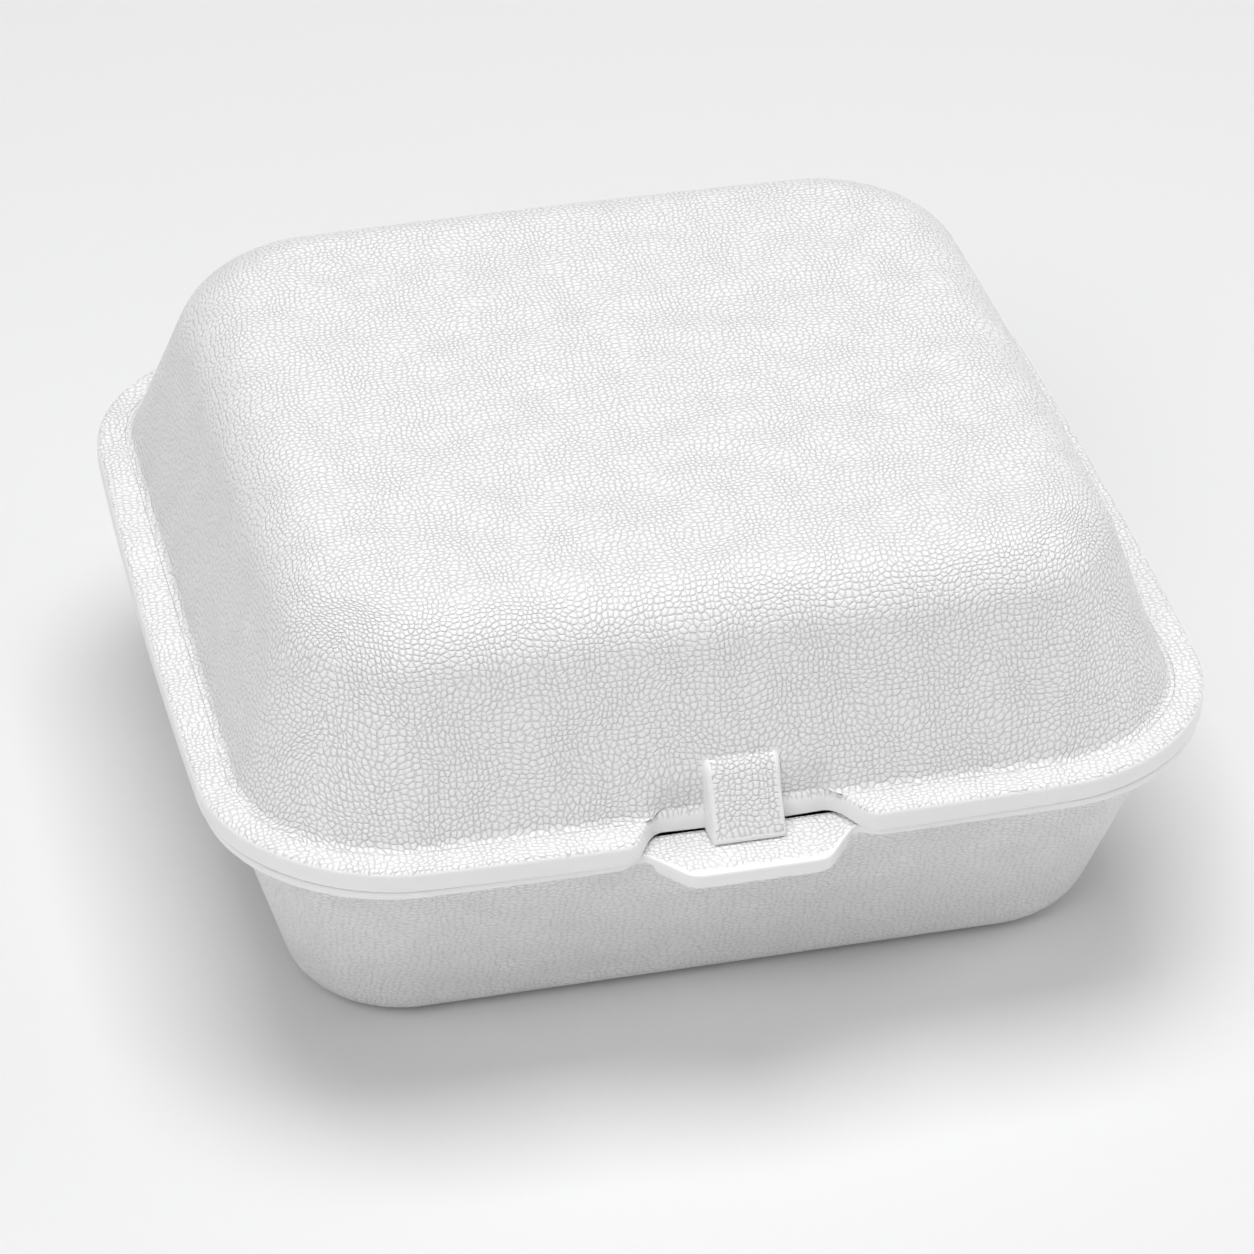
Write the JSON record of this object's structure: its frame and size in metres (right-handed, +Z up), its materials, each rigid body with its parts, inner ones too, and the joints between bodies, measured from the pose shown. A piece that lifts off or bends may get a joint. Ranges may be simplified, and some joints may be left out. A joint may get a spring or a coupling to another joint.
{
  "type": "foam burger box",
  "caption": "Square hinged takeaway box of white moulded foam, with a domed lid that swings up at the back and a hook that drops into a front tab.",
  "frame": {"origin": "on the table under the middle of the bounding box, which runs from the front tab to the fold at the back", "axes": "+Z up, -Y the front with the tab and hook, +Y the back with the hinge, X the width"},
  "size_m": [0.1334, 0.1368, 0.0639],
  "materials": {
    "foam": "moulded expanded polystyrene foam with a closed cell skin, white"
  },
  "bodies": {
    "base_body": {"base": "foam"},
    "lid_body": {"lid": "foam"}
  },
  "joints": [
    {"name": "lid_hinge", "type": "hinge", "parent": "base_body", "child": "lid_body", "pos_m": [0, 0.06853, 0.03415], "axis": [-1, 0, 0], "range_deg": [0, 180]}
  ]
}
